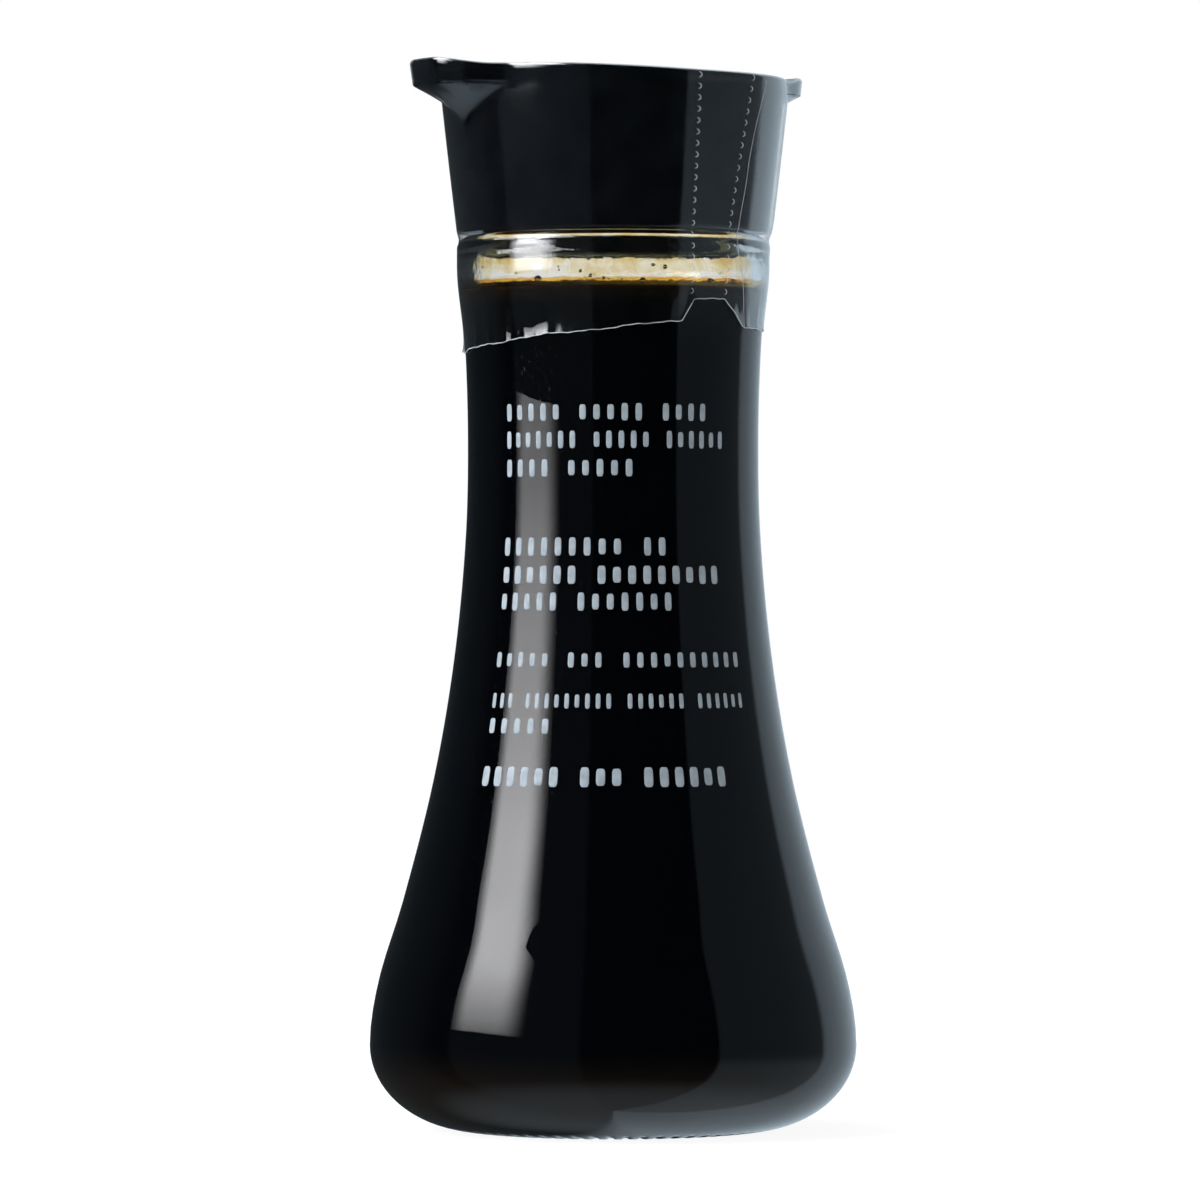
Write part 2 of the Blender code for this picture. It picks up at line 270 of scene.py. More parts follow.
def tubes(paths, outward, radius, sides=6, closed=False):
    """Round tubes along paths, a (tube, point, axis) array; outward gives each point's outward direction.

    A point's ring is centre + radius (cos t across + sin t out), with across = along x outward. The
    ends are fans to the path's own end points, or the last ring joins the first.
    """
    if closed:
        along = np.roll(paths, -1, 1) - np.roll(paths, 1, 1)
    else:
        along = np.gradient(paths, axis=1)
    along /= np.linalg.norm(along, axis=-1, keepdims=True)
    across = np.cross(along, outward)
    across /= np.linalg.norm(across, axis=-1, keepdims=True)
    out = np.cross(across, along)
    turn = even_angles(sides)[:, None]
    radius = np.broadcast_to(radius, paths.shape[:2])[:, :, None, None]
    spokes = np.cos(turn) * across[:, :, None] + np.sin(turn) * out[:, :, None]
    points = paths[:, :, None] + radius * spokes
    many, length = paths.shape[:2]
    corner = np.arange(many * length * sides).reshape(many, length, sides)
    first, second = (corner, np.roll(corner, -1, 1)) if closed else (corner[:, :-1], corner[:, 1:])
    quads = np.stack([first, np.roll(first, -1, 2), np.roll(second, -1, 2), second], axis=-1)
    points = points.reshape(-1, 3)
    faces = quads.reshape(-1, 4).tolist()
    if not closed:
        for end in (0, -1):
            ring = corner[:, end]
            middle = np.broadcast_to(len(points) + np.arange(many)[:, None], ring.shape)
            points = np.vstack([points, paths[:, end]])
            faces += np.stack([ring, np.roll(ring, -1, 1), middle], axis=-1).reshape(-1, 3).tolist()
    return points, faces


def smooth_step(value, start, end):
    """0 before start, 1 after end, and 3t^2 - 2t^3 between."""
    t = np.clip((value - start) / (end - start), 0.0, 1.0)
    return t * t * (3 - 2 * t)


def ripple(angles, strengths, seed):
    """A sum of sines round the bottle, strengths being (waves round, size) pairs, with seeded phases."""
    phases = np.random.default_rng(seed).uniform(0.0, math.tau, len(strengths))
    return sum(size * np.sin(waves * angles + phase) for (waves, size), phase in zip(strengths, phases))


# ---------------------------------------------------------------- outlines


def outline(heights):
    """The glass's outer radius: a cubic Hermite curve through OUTLINE, level at both ends."""
    at, radius = np.array(OUTLINE).T
    slope = np.zeros(len(at))
    slope[1:-1] = (radius[2:] - radius[:-2]) / (at[2:] - at[:-2])
    part = np.clip(np.searchsorted(at, heights) - 1, 0, len(at) - 2)
    span = at[part + 1] - at[part]
    t = np.clip((heights - at[part]) / span, 0.0, 1.0)
    ends = radius[part] * (1 + 2 * t) * (1 - t) ** 2 + radius[part + 1] * t * t * (3 - 2 * t)
    return ends + span * t * (1 - t) * (slope[part] * (1 - t) - slope[part + 1] * t)


def way(start, end, shares):
    """Points at shares of the way between two (radius, height) points, or rows between two rows of them."""
    start, end = np.array(start), np.array(end)
    return start + (end - start) * shares.reshape(shares.shape + (1,) * (start.ndim - 1))


def quarter(start, end, steps, level_first):
    """A quarter of an ellipse between two points or rows, level at its start or at its end."""
    turns = np.linspace(0.0, math.pi / 2, steps + 1)
    shares = np.stack([np.sin(turns), 1 - np.cos(turns)], axis=1)
    return way(start, end, shares if level_first else shares[:, ::-1])


def line(start, end, steps):
    """Even points or rows from start up to but not including end."""
    return way(start, end, np.linspace(0.0, 1.0, steps, endpoint=False)[:, None])


def dome(radius, edge, rise, steps=9):
    """(radius, height) points out from near the middle of a shallow dome: edge + rise cos^2."""
    share = np.linspace(0.0, 1.0, steps, endpoint=False)[1:]
    return np.stack([share * radius, edge + rise * np.cos(share * math.pi / 2) ** 2], axis=1)


def inside(clearance, top, steps=28):
    """The inside of the glass, drawn in by a clearance, from near the middle of its floor up to a height."""
    edge = FLOOR_EDGE + clearance
    belly = float(outline(np.array(INSIDE_BELLY))) - WALL - clearance
    heel = quarter((FLOOR_RADIUS, edge), (belly, INSIDE_BELLY), 12, True)
    heights = np.linspace(INSIDE_BELLY, top, steps + 1)[1:]
    wall = np.stack([outline(heights) - WALL - clearance, heights], axis=1)
    return np.vstack([dome(FLOOR_RADIUS, edge, FLOOR_DOME), heel, wall])


def away_from(angles, degrees):
    """How far each angle in radians is from a direction in degrees, between -pi and pi."""
    return (angles - math.radians(degrees) + math.pi) % math.tau - math.pi


def crest(angles, degrees, half_angle):
    """1 across a lip's level end, falling as a half-cosine to 0 at its half-angle."""
    off = np.abs(away_from(angles, degrees)) / math.radians(half_angle)
    fall = np.clip((off - LIP_FLAT_SHARE) / (1 - LIP_FLAT_SHARE), 0.0, 1.0)
    return 0.5 + 0.5 * np.cos(math.pi * fall)


def lip_slope(angles, degrees):
    """The slope of a lip's underside: slope (1 + keel |off|), least along its keel."""
    off = away_from(angles, degrees) / math.radians(LIP_HALF_ANGLE)
    return LIP_SLOPE * (1 + LIP_KEEL * np.sqrt(off**2 + 0.002))


def rim_height(angles, with_lips=True):
    """The cap's rim: level on the second lip's side, rising towards the main lip, and more at each lip.

    height = RIM + RIM_TILT (t + sqrt(t^2 + 0.04)) / 2 with t = -cos a, and each lip adds rise x crest.
    """
    toward = -np.cos(angles)
    height = RIM + RIM_TILT * 0.5 * (toward + np.sqrt(toward**2 + 0.04))
    for degrees, _, rise in LIPS:
        height = height + with_lips * rise * crest(angles, degrees, LIP_RISE_HALF_ANGLE)
    return height


def cap_radius(angles, height, share_of_slope=1.0, fillet=LIP_FILLET):
    """The cap's outer radius: a flaring side, and on it each lip, cut back below its foot.

    side = head - (head - foot) (1 - share)^bowing; a lip adds (out + sqrt(out^2 + fillet^2 crest)) / 2,
    where out = reach crest - slope times the depth below the lip's foot. The brim above flares a little.
    """
    share = np.clip((height - CAP_FOOT) / (LIP_FOOT - CAP_FOOT), 0.0, 1.0)
    side = CAP_HEAD_RADIUS - (CAP_HEAD_RADIUS - CAP_FOOT_RADIUS) * (1 - share) ** CAP_BOWING
    lips = 0.0
    for degrees, reach, _ in LIPS:
        shape = crest(angles, degrees, LIP_HALF_ANGLE)
        slope = share_of_slope * lip_slope(angles, degrees)
        out = reach * shape - slope * np.maximum(LIP_FOOT - height, 0.0)
        lips = lips + 0.5 * (out + np.sqrt(out**2 + fillet**2 * shape))
    return side + lips + BRIM_FLARE * np.maximum(height - LIP_FOOT, 0.0)


def edge_height(angles):
    """The height of the shrink band's cut edge: straight stretches, with a little tearing on them."""
    at, height = np.array(EDGE).T
    degrees = (np.degrees(angles) - at[0]) % 360.0 + at[0]
    tearing = ripple(angles, ((9, 0.10 * MM), (23, 0.06 * MM), (61, 0.04 * MM)), seed=4)
    return np.interp(degrees, at, height) + tearing


def film_radius(angles, height):
    """The radius of the shrink band's inner side, which spans from the glass's bead to the cap's foot.

    Below the bead it follows the glass, above the cap's foot it follows the cap with steeper undersides
    to its lips, and between them it goes straight across.
    """
    on_glass = outline(np.minimum(height, BEAD[0]))
    on_cap = cap_radius(angles, np.maximum(height, CAP_FOOT), FILM_LIP_SHARE, FILM_LIP_FILLET)
    share = np.clip((height - SHOULDER_FOOT) / (CAP_FOOT - SHOULDER_FOOT), 0.0, 1.0)
    sag = FILM_SAG * np.sin(math.pi * share)
    # Beside its seam it stands off a little more, up to just under the rim.
    middle, spread, depth = LOOSE
    loose = depth * np.exp(-((away_from(angles, middle) / math.radians(spread)) ** 2))
    loose = loose * smooth_step(height, *LOOSE_FOOT) * (1 - smooth_step(height, *LOOSE_HEAD))
    return on_glass * (1 - share) + on_cap * share - sag + loose + settings().band.stand_off


# ---------------------------------------------------------------- materials


class Nodes:
    """A node tree being built. A value is a plain one, or the output of another node."""

    def __init__(self, tree):
        self.tree = tree

    def new(self, kind):
        return self.tree.nodes.new("ShaderNode" + kind)

    def fill(self, socket, value):
        """Sets a socket to a plain value, or links an output to it."""
        if isinstance(value, bpy.types.NodeSocket):
            self.tree.links.new(value, socket)
        else:
            socket.default_value = value

    def parts(self, vector):
        """The X, Y and Z of a vector."""
        node = self.new("SeparateXYZ")
        self.fill(node.inputs["Vector"], vector)
        return node.outputs

    def ranged(self, value, low, high, to_low, to_high, smooth=False):
        node = self.new("MapRange")
        node.interpolation_type = "SMOOTHSTEP" if smooth else "LINEAR"
        self.fill(node.inputs["Value"], value)
        limits = zip(("From Min", "From Max", "To Min", "To Max"), (low, high, to_low, to_high))
        for name, number in limits:
            self.fill(node.inputs[name], number)
        return node.outputs["Result"]

    def maths(self, operation, first, second=0.0):
        node = self.new("Math")
        node.operation = operation
        self.fill(node.inputs[0], first)
        self.fill(node.inputs[1], second)
        return node.outputs["Value"]

    def mixed(self, share, first, second):
        """A mix of two shaders."""
        node = self.new("MixShader")
        for socket, value in zip(node.inputs, (share, first, second)):
            self.fill(socket, value)
        return node.outputs["Shader"]


class Paint(Nodes):
    """A Principled material being built, on Object coordinates."""

    def __init__(self, name):
        self.material = bpy.data.materials.new(name)
        self.material.use_nodes = True
        super().__init__(self.material.node_tree)
        self.shader = self.tree.nodes["Principled BSDF"]
        self.place = self.new("TexCoord").outputs["Object"]

    def set(self, **values):
        for name, value in values.items():
            self.fill(self.shader.inputs[name.replace("_", " ")], value)

    def height(self):
        """The Z of the point."""
        return self.parts(self.place)["Z"]

    def noise(self, scale, detail=3.0, stretch=(1.0, 1.0, 1.0)):
        """Noise whose features are about 1 / scale metres across."""
        mapping = self.new("Mapping")
        self.fill(mapping.inputs["Scale"], stretch)
        self.fill(mapping.inputs["Vector"], self.place)
        node = self.new("TexNoise")
        self.fill(node.inputs["Scale"], scale)
        self.fill(node.inputs["Detail"], detail)
        self.fill(node.inputs["Vector"], mapping.outputs["Vector"])
        return node.outputs["Fac"]

    def ramp(self, value, stops):
        """Colours by position: stops are (position, colour)."""
        node = self.new("ValToRGB")
        while len(node.color_ramp.elements) < len(stops):
            node.color_ramp.elements.new(0.5)
        for element, (position, colour) in zip(node.color_ramp.elements, stops):
            element.position = position
            element.color = (*colour, 1.0)
        self.fill(node.inputs["Fac"], value)
        return node.outputs["Color"]

    def uneven_gloss(self, scale, detail, low, high):
        """Roughness that wanders from low to high with noise."""
        self.set(Roughness=self.ranged(self.noise(scale, detail), 0.3, 0.7, low, high))

    def bump(self, value, strength, distance):
        node = self.new("Bump")
        self.fill(node.inputs["Strength"], strength)
        self.fill(node.inputs["Distance"], distance)
        self.fill(node.inputs["Height"], value)
        self.set(Normal=node.outputs["Normal"])


def glass_material(name, colour):
    """Clear glass: full transmission, faint moulding waves in its bump and a little haze in its roughness."""
    paint = Paint(name)
    paint.set(Base_Color=(*colour, 1.0), IOR=1.5, Transmission_Weight=1.0)
    haze = paint.ranged(paint.noise(90.0), 0.35, 0.75, 0.0, 0.035)
    specks = paint.ranged(paint.noise(2600.0, 1.0), 0.66, 0.74, 0.0, 0.16)
    paint.set(Roughness=paint.maths("ADD", haze, specks))
    paint.bump(paint.noise(110.0, 1.0, (1.0, 1.0, 0.4)), 0.25, 0.05 * MM)
    return paint.material


def residue_material(name, colour):
    """Glass with a thin coat of sauce inside: blotches and runs from clear to amber, more of it higher up."""
    paint = Paint(name)
    paint.set(IOR=1.5, Transmission_Weight=1.0)
    runs = paint.noise(420.0, 4.0, (1.0, 1.0, 0.35))
    level = settings().sauce.level
    upper = paint.ranged(paint.height(), level + 2.3 * MM, level + 3.3 * MM, 0.10, -0.12, smooth=True)
    stops = ((0.28, colour), (0.42, (0.94, 0.80, 0.46)), (0.54, (0.99, 0.97, 0.91)))
    paint.set(Base_Color=paint.ramp(paint.maths("ADD", runs, upper), stops))
    paint.set(Roughness=paint.ranged(runs, 0.3, 0.7, 0.06, 0.0))
    paint.bump(paint.noise(700.0, 3.0), 0.5, 0.08 * MM)
    return paint.material


def sauce_material(name, colour):
    """Sauce seen through glass: almost black, with a painted brown glow under its surface and over the
    bottle's floor that stands in for light coming through the sauce.
    """
    paint = Paint(name)
    paint.set(IOR=1.05, Specular_IOR_Level=0.05)
    level = settings().sauce.level
    # Painted glow: brown over the last 2.5 mm under the level stands in for light coming through the sauce's
    # thin top.
    depth = paint.ranged(paint.height(), level - 2.5 * MM, level, 0.0, 1.0, smooth=True)
    # Painted glow: brown over the floor stands in for light from the floor coming up through the base.
    foot = paint.ranged(paint.height(), 5.0 * MM, 12.0 * MM, 0.6, 0.0, smooth=True)
    painted_surface_glow = paint.maths("MULTIPLY", depth, paint.ranged(paint.noise(300.0), 0.3, 0.7, 0.9, 1.0))
    black_and_painted_glow = (
        (0.0, colour),
        (0.6, (0.014, 0.010, 0.007)),
        (0.88, (0.012, 0.006, 0.002)),
        (0.97, (0.04, 0.016, 0.002)),
        (1.0, (0.32, 0.16, 0.015)),
    )
    paint.set(Base_Color=paint.ramp(paint.maths("MAXIMUM", foot, painted_surface_glow), black_and_painted_glow))
    paint.uneven_gloss(200.0, 3.0, 0.1, 0.25)
    return paint.material


def meniscus_material(name):
    """Thin sauce at the wall: deep amber at its foot, fading to straw at its top."""
    paint = Paint(name)
    paint.set(IOR=1.36, Transmission_Weight=1.0)
    level = settings().sauce.level
    height = paint.ranged(paint.height(), level, level + CLIMB, 0.0, 1.0)
    mixed = paint.maths("ADD", height, paint.ranged(paint.noise(500.0), 0.3, 0.7, -0.12, 0.12))
    amber = (
        (0.0, (0.74, 0.36, 0.03)),
        (0.25, (0.96, 0.66, 0.14)),
        (0.6, (0.98, 0.80, 0.32)),
        (0.78, (0.86, 0.52, 0.18)),
        (0.95, (0.99, 0.95, 0.84)),
    )
    paint.set(Base_Color=paint.ramp(mixed, amber))
    paint.uneven_gloss(350.0, 3.0, 0.0, 0.05)
    return paint.material


def cap_material(name, colour, roughness):
    """Gloss black plastic with faint moulding ripple and a slight unevenness in its gloss."""
    paint = Paint(name)
    paint.set(Base_Color=(*colour, 1.0), IOR=1.5)
    paint.uneven_gloss(140.0, 4.0, 0.6 * roughness, 1.5 * roughness)
    paint.bump(paint.noise(160.0, 2.0), 0.25, 0.04 * MM)
    return paint.material


def film_material(name, colour):
    """Thin clear film: full transmission, drawn slightly uneven by the heat that shrank it."""
    paint = Paint(name)
    paint.set(Base_Color=(*colour, 1.0), IOR=1.45, Transmission_Weight=1.0)
    paint.set(Roughness=paint.ranged(paint.noise(200.0, 4.0), 0.35, 0.7, 0.02, 0.09))
    paint.bump(paint.noise(260.0, 2.0, (1.0, 1.0, 0.5)), 0.35, 0.05 * MM)
    return paint.material


def mark_material(name, colour, roughness=0.4):
    """A printed mark, or a painted highlight along the film's cuts and seam: a pale coat, slightly mottled.
    """
    paint = Paint(name)
    paint.set(IOR=1.45)
    dark = tuple(0.78 * part for part in colour)
    paint.set(Base_Color=paint.ramp(paint.noise(900.0, 4.0), ((0.35, dark), (0.65, colour))))
    paint.uneven_gloss(600.0, 3.0, 0.8 * roughness, 1.2 * roughness)
    return paint.material


# ---------------------------------------------------------------- settings


def colour_setting(name, description, default):
    return FloatVectorProperty(name=name, description=description, subtype="COLOR", size=3, default=default)


def length_setting(name, description, default):
    return FloatProperty(name=name, description=description, subtype="DISTANCE", default=default)


class GlassSettings(bpy.types.PropertyGroup):
    colour: colour_setting("Glass", "Colour of the clear glass", (0.985, 0.995, 0.99))
    residue: colour_setting("Residue", "Colour of sauce left on the inside", (0.80, 0.56, 0.20))
    notch_depth: length_setting("Notch depth", "Depth of the grip notches underneath", 0.35 * MM)


class SauceSettings(bpy.types.PropertyGroup):
    level: length_setting("Level", "Height of the sauce above the table", 108.6 * MM)
    reach: length_setting("Reach into the wall", "How far the sauce reaches into the glass", 0.15 * MM)
    colour: colour_setting("Sauce", "Colour of the sauce", (0.0006, 0.0009, 0.0018))
    bubbles: IntProperty(
        name="Bubbles", description="Bubbles round the sauce's edge", default=46, min=0, max=200
    )


class CapSettings(bpy.types.PropertyGroup):
    colour: colour_setting("Plastic", "Colour of the cap", (0.0012, 0.0022, 0.0042))
    roughness: FloatProperty(
        name="Roughness", description="Roughness of the cap", subtype="FACTOR", default=0.10
    )


class BandSettings(bpy.types.PropertyGroup):
    colour: colour_setting("Film", "Colour of the film", (0.99, 0.995, 1.0))
    thickness: length_setting("Thickness", "Thickness of the film", 0.05 * MM)
    stand_off: length_setting("Stand-off", "Gap between the film and what it wraps", 0.08 * MM)
    pitch: length_setting("Perforation pitch", "Distance between perforations", 1.44 * MM)


class PrintSettings(bpy.types.PropertyGroup):
    colour: colour_setting("Ink", "Colour of the printed blocks", (0.27, 0.32, 0.36))
    height: length_setting("Ink height", "How proud the ink stands", 0.03 * MM)


class StageSettings(bpy.types.PropertyGroup):
    distance: length_setting("Camera distance", "From the bottle's axis", 0.958)
    camera_height: length_setting("Camera height", "Above the table", 0.0685)
    aside: length_setting("Camera aside", "How far the camera is moved to its left", 1.7 * MM)
    lens: FloatProperty(name="Lens", description="Focal length in mm on a 36 mm sensor", default=222.0)
    softbox: FloatProperty(name="Softbox", description="Strength of the softbox on the left", default=7.5)


class BottleSettings(bpy.types.PropertyGroup):
    glass: PointerProperty(type=GlassSettings)
    sauce: PointerProperty(type=SauceSettings)
    cap: PointerProperty(type=CapSettings)
    band: PointerProperty(type=BandSettings)
    printing: PointerProperty(type=PrintSettings)
    stage: PointerProperty(type=StageSettings)


# ---------------------------------------------------------------- pieces


class BOTTLE_OT_glass(bpy.types.Operator):
    """Turns the hollow glass bottle, with its bead, shoulder, neck, push-up and grip notches"""

    bl_idname = "bottle.glass"
    bl_label = "Glass bottle"

    def execute(self, context):
        values = settings().glass
        level = settings().sauce.level
        under_level = inside(0.0, level)
        heights = np.linspace(level, BEAD[0], 7)[1:]
        over_level = np.stack([outline(heights) - WALL, heights], axis=1)
        throat = quarter(over_level[-1], (NECK_BORE, THROAT_TOP), 12, False)[1:]
        bore = line(throat[-1], (NECK_BORE, NECK_TOP - NECK_BEVEL), 6)[1:]
        mouth = np.vstack([
            quarter((NECK_BORE, NECK_TOP - NECK_BEVEL), (NECK_BORE + NECK_BEVEL, NECK_TOP), 4, False),
            quarter((NECK_RADIUS - NECK_BEVEL, NECK_TOP), (NECK_RADIUS, NECK_TOP - NECK_BEVEL), 4, True),
            line((NECK_RADIUS, NECK_TOP - NECK_BEVEL), (NECK_RADIUS, SHOULDER_TOP + NECK_FILLET), 6)[1:],
        ])
        fillet = quarter((NECK_RADIUS, SHOULDER_TOP + NECK_FILLET), (SHOULDER_RADIUS, SHOULDER_TOP), 4, False)
        shoulder = np.vstack([
            line((SHOULDER_RADIUS, SHOULDER_TOP), (SHOULDER_EDGE, SHOULDER_TOP), 4)[1:],
            quarter((SHOULDER_EDGE, SHOULDER_TOP), (BEAD[1], SHOULDER_FOOT), 16, True),
        ])
        heights = np.linspace(BEAD[0], BELLY[0], 45)
        side = np.stack([outline(heights), heights], axis=1)
        heel = quarter(side[-1], (FOOT_OUTSIDE, 0.0), 20, False)[1:]
        under = np.vstack([[(FOOT_INSIDE, 0.0)], dome(FOOT_INSIDE, 0.0, PUSH_UP)[::-1]])
        inner = [under_level, over_level, throat, bore]
        section = np.vstack(inner + [mouth, fillet, shoulder, side, heel, under])
        angles = even_angles(NOTCHES * STEPS_PER_NOTCH)
        radius, height = section[:, :1], section[:, 1:]
        is_under = (np.arange(len(section)) >= len(section) - len(heel) - len(under))[:, None]
        # A notch is a raised cosine to the fourth power round the ring, faded in and out along its length.
        bars = (0.5 - 0.5 * np.cos(NOTCHES * angles)) ** 4
        reach = smooth_step(radius, NOTCH_SPAN[0] - NOTCH_FADE, NOTCH_SPAN[0])
        reach = reach * (1 - smooth_step(radius, NOTCH_SPAN[1] - NOTCH_FADE, NOTCH_SPAN[1]))
        lifted = height + is_under * values.notch_depth * reach * bars
        rows = round_points(angles, radius + 0.0 * lifted, lifted)
        points, faces = rounds(rows, (FLOOR_EDGE + FLOOR_DOME, PUSH_UP))
        # The sauce has coated the inside from its level up to the mouth.
        row_of_face = np.arange(len(faces)) // len(angles)
        coat_top = sum(len(part) for part in inner)
        coated = (row_of_face >= len(under_level) - 1) & (row_of_face < coat_top)
        clear = glass_material("clear_glass", values.colour)
        stained = residue_material("glass_with_residue", values.residue)
        bottle = finish_mesh("glass_bottle_fine", points, faces, (clear, stained), coated)
        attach(bottle, "root")
        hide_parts("glass_bottle")
        return {"FINISHED"}


class BOTTLE_OT_sauce(bpy.types.Operator):
    """Fills the bottle with sauce up to its level, with a thin amber edge where it climbs the wall"""

    bl_idname = "bottle.sauce"
    bl_label = "Soy sauce"

    def execute(self, context):
        values = settings().sauce
        lining = inside(-values.reach, values.level, 48)
        share = np.linspace(1.0, 0.0, 14, endpoint=False)[1:]
        surface = np.stack([lining[-1, 0] * share, np.full(len(share), values.level)], axis=1)
        angles = even_angles(SAUCE_STEPS)
        section = np.vstack([lining, surface])
        rows = round_points(angles, section[:, 0], section[:, 1])
        points, faces = rounds(rows, (FLOOR_EDGE + FLOOR_DOME, values.level))
        paint = sauce_material("dark_sauce", values.colour)
        sauce = finish_mesh("soy_sauce_fine", points, faces, (paint,))
        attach(sauce, "root")
        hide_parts("soy_sauce")
        self.edge(values)
        return {"FINISHED"}

    def edge(self, values):
        """The thin edge: a wedge up the wall whose thickness falls as (1 - share)^2 and whose top wanders."""
        angles = even_angles(360)
        climb = CLIMB + ripple(angles, ((3, 0.12 * MM), (11, 0.10 * MM), (29, 0.06 * MM)), seed=9)
        share = np.linspace(0.0, 1.0, 12)[:, None]
        foot = values.level - CLIMB_FOOT
        height = foot + share * (climb + CLIMB_FOOT)
        wall = outline(height) - WALL
        thick = CLIMB_THICK * (1 - share) ** 2 + CLIMB_THIN
        outer = round_points(angles, wall + CLIMB_REACH, height)
        inner = round_points(angles, wall - thick, height)
        points, faces = rounds(np.concatenate([outer, inner[::-1]]), tube=True)
        edge = finish_mesh("soy_sauce_edge", points, faces, (meniscus_material("sauce_edge"),))
        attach(edge, "root")


class BOTTLE_OT_bubbles(bpy.types.Operator):
    """Scatters small bubbles and drops along the sauce's edge and on the glass above it"""

    bl_idname = "bottle.bubbles"
    bl_label = "Bubbles and drops"

    def execute(self, context):
        values = settings().sauce
        count = values.bubbles
        draw = np.random.default_rng(21)
        angles = draw.uniform(0.0, math.tau, count)
        size = BUBBLE_SIZE[0] + BUBBLE_SIZE[1] * draw.uniform(0.0, 1.0, count) ** 3
        height = values.level + BUBBLE_RISE[0] + BUBBLE_RISE[1] * draw.uniform(0.0, 1.0, count) ** 2
        wall = outline(height) - WALL - 0.25 * size
        middle = turned(angles, wall, height)
        # A unit ball of seven rings and twelve sides, its poles closed.
        tilt = np.linspace(0.0, math.pi, 9)[1:-1]
        rows = round_points(even_angles(12), np.sin(tilt), np.cos(tilt))
        ball, faces = rounds(rows, (1.0, -1.0))
        points = (middle[:, None] + size[:, None, None] * ball).reshape(-1, 3)
        faces = [[corner + index * len(ball) for corner in face] for index in range(count) for face in faces]
        paint = glass_material("drop_of_sauce", (0.93, 0.74, 0.38))
        drops = finish_mesh("sauce_bubbles", points, faces, (paint,))
        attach(drops, "root")
        return {"FINISHED"}


class BOTTLE_OT_cap(bpy.types.Operator):
    """Makes the black pourer cap with its two lips, rim, deck and pour holes"""

    bl_idname = "bottle.cap"
    bl_label = "Pourer cap"

    def execute(self, context):
        values = settings().cap
        angles = sleeve_angles()

        def row(radius, height):
            """A radius and a height for every angle."""
            return np.stack([radius + 0.0 * angles, height + 0.0 * angles])

        def side(heights):
            """Rows on the cap's outer side."""
            return [row(cap_radius(angles, height), height) for height in heights]

        rim = rim_height(angles)
        brim = cap_radius(angles, LIP_FOOT)
        edge = cap_radius(angles, rim - CAP_BEVEL)
        inner = brim - CAP_WALL
        ceiling = DECK - DECK_THICKNESS
        # The channel climbs from the deck's edge, once a lip reaches out, to clear the lip's underside.
        slope = np.minimum(*(lip_slope(angles, degrees) for degrees, _, _ in LIPS))
        clear = LIP_FOOT - (CAP_WALL + CHANNEL_EDGE) / slope + CHANNEL_FLOOR
        part = np.clip((brim - CAP_HEAD_RADIUS - CHANNEL_START) / CHANNEL_RUN, 0.0, 1.0)
        channel = DECK + (clear - DECK) * part
        deck_edge = row(np.minimum(inner - CAP_WALL, CAP_HEAD_RADIUS - 3 * CAP_WALL), DECK)
        channel_end = row(inner - CHANNEL_EDGE, channel)
        wall_foot = row(inner, channel + CHANNEL_EDGE)
        wall_head = row(inner, np.maximum(rim - 2 * CAP_BEVEL, channel + CHANNEL_EDGE))
        brim_share = np.array(BRIM_ROWS)[:, None]
        foot = CAP_FOOT + CAP_BEVEL
        corner = cap_radius(angles, foot)
        profile = np.concatenate([
            [row(*point) for point in dome(NECK_BORE, DECK, DECK_DOME, 8)],
            [row(NECK_BORE, DECK)],
            line(deck_edge, channel_end, 5),
            quarter(channel_end, wall_foot, 4, True),
            line(wall_foot, wall_head, 2)[1:],
            [wall_head],
            quarter(row(inner, rim - CAP_BEVEL), row(inner + CAP_BEVEL, rim), 5, False),
            quarter(row(edge - CAP_BEVEL, rim), row(edge, rim - CAP_BEVEL), 5, True),
            side((rim - CAP_BEVEL) * (1 - brim_share) + LIP_FOOT * brim_share),
            side(foot + np.linspace(1.0, 0.0, 41) * (LIP_FOOT - foot)),
            quarter(row(corner, foot), row(corner - CAP_BEVEL, CAP_FOOT), 4, False)[1:],
            [row(CAP_BORE + BORE_BEVEL, CAP_FOOT), row(CAP_BORE, CAP_FOOT + BORE_BEVEL)],
            line(row(CAP_BORE, ceiling), row(0.0, ceiling), 4),
        ])
        radius, height = profile[:, 0], profile[:, 1]
        points, faces = rounds(round_points(angles, radius, height), (DECK + DECK_DOME, ceiling))
        paint = cap_material("black_plastic", values.colour, values.roughness)
        cap = finish_mesh("pourer_cap_fine", points, faces, (paint,), sharp=CAP_SHARP)
        for degrees, _, _ in LIPS:
            drill(cap, degrees)
        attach(cap, "root")
        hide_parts("pourer_cap")
        return {"FINISHED"}


def drill(cap, degrees):
    """Cuts a round pour hole through the deck on a lip's side, and applies the cut."""
    turn = math.radians(degrees)
    place = np.array([POUR_HOLE_PLACE * math.cos(turn), POUR_HOLE_PLACE * math.sin(turn), DECK])
    ends = np.array([1.0, -1.0]) * 2 * DECK_THICKNESS
    points, faces = rounds(round_points(even_angles(32), POUR_HOLE_RADIUS, ends), ends)
    cutter = finish_mesh("drill", points + place, faces, ())
    modifier = cap.modifiers.new("pour hole", "BOOLEAN")
    modifier.object = cutter
    modifier.operation = "DIFFERENCE"
    shape = bmesh.new()
    shape.from_object(cap, bpy.context.evaluated_depsgraph_get())
    cap.modifiers.clear()
    shape.to_mesh(cap.data)
    shape.free()
    cap.data.set_sharp_from_angle(angle=math.radians(CAP_SHARP))
    bpy.data.objects.remove(cutter)


def edge_curl(angles):
    """How far the cut edge curls out: its usual curl, more in some places and less in others."""
    return CURL * (1.0 + 0.6 * np.sin(5 * angles + 1.0))


def film_outside(angles, height, lift=0.0):
    """Points on the film's outer side, and their outward directions, at angles in radians and heights."""
    radius = film_radius(angles, height) + settings().band.thickness + lift
    return turned(angles, radius, height), turned(angles, 1.0, 0.0)


